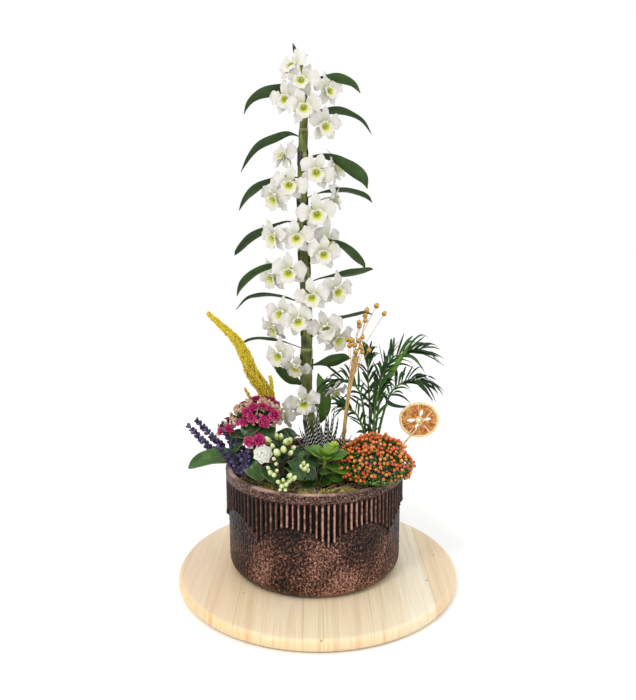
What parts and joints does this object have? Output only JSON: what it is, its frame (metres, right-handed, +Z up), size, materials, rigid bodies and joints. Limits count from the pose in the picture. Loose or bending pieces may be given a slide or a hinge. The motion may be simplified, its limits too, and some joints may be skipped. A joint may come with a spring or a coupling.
{
  "type": "potted dendrobium orchid arrangement",
  "caption": "Upright flowering orchid cane with arched leaves, planted with small companion plants in a fluted glazed bowl on a round wooden board",
  "frame": {"origin": "middle of the underside of the serving board", "axes": "+Z up, -Y is the front with the low plants, +X to the right seen from the front"},
  "size_m": [0.438, 0.438, 0.816],
  "materials": {
    "board_wood": "satin",
    "pot_glaze": "satin",
    "potting_bark": "matte",
    "dry_moss": "matte",
    "orchid_cane": "satin",
    "orchid_leaf": "satin",
    "orchid_petal": "matte",
    "plume": "matte",
    "lavender": "matte",
    "succulent_leaf": "satin",
    "pink_petal": "matte",
    "white_petal": "matte",
    "zebra_leaf": "satin",
    "bead_berries": "gloss",
    "palm_leaf": "satin",
    "dried_flax": "matte",
    "dried_orange": "satin",
    "stick_wood": "matte"
  },
  "bodies": {
    "root": {"bead_plant": "bead_berries", "flax_bundle": "dried_flax", "gold_plume": "plume", "jade_plant": "succulent_leaf", "lavender_spike_1": "lavender", "lavender_spike_2": "lavender", "lavender_spike_3": "lavender", "lavender_spike_4": "lavender", "lavender_spike_5": "lavender", "moss_mat": "dry_moss", "orange_pick": "stick_wood", "orange_slice": "dried_orange", "orchid_buds": "orchid_petal", "orchid_cane": "orchid_cane", "orchid_leaf_left_1": "orchid_leaf", "orchid_leaf_left_2": "orchid_leaf", "orchid_leaf_left_3": "orchid_leaf", "orchid_leaf_left_4": "orchid_leaf", "orchid_leaf_left_5": "orchid_leaf", "orchid_leaf_left_6": "orchid_leaf", "orchid_leaf_left_7": "orchid_leaf", "orchid_leaf_left_8": "orchid_leaf", "orchid_leaf_low": "orchid_leaf", "orchid_leaf_right_1": "orchid_leaf", "orchid_leaf_right_2": "orchid_leaf", "orchid_leaf_right_3": "orchid_leaf", "orchid_leaf_right_4": "orchid_leaf", "orchid_leaf_right_5": "orchid_leaf", "orchid_leaf_right_6": "orchid_leaf", "orchid_leaf_right_7": "orchid_leaf", "orchid_leaf_right_8": "orchid_leaf", "orchid_leaf_tip": "orchid_leaf", "orchid_spray_01": "orchid_petal", "orchid_spray_02": "orchid_petal", "orchid_spray_03": "orchid_petal", "orchid_spray_04": "orchid_petal", "orchid_spray_05": "orchid_petal", "orchid_spray_06": "orchid_petal", "orchid_spray_07": "orchid_petal", "orchid_spray_08": "orchid_petal", "orchid_spray_09": "orchid_petal", "orchid_spray_10": "orchid_petal", "orchid_spray_11": "orchid_petal", "orchid_spray_12": "orchid_petal", "orchid_spray_13": "orchid_petal", "orchid_spray_14": "orchid_petal", "palm_frond_1": "palm_leaf", "palm_frond_2": "palm_leaf", "palm_frond_3": "palm_leaf", "palm_frond_4": "palm_leaf", "pink_kalanchoe_head_1": "pink_petal", "pink_kalanchoe_head_2": "pink_petal", "pink_kalanchoe_head_3": "pink_petal", "pink_kalanchoe_plant": "succulent_leaf", "planter_pot": "pot_glaze", "potting_soil": "potting_bark", "serving_board": "board_wood", "white_kalanchoe_head": "white_petal", "white_kalanchoe_plant": "succulent_leaf", "zebra_haworthia": "zebra_leaf"}
  },
  "joints": []
}
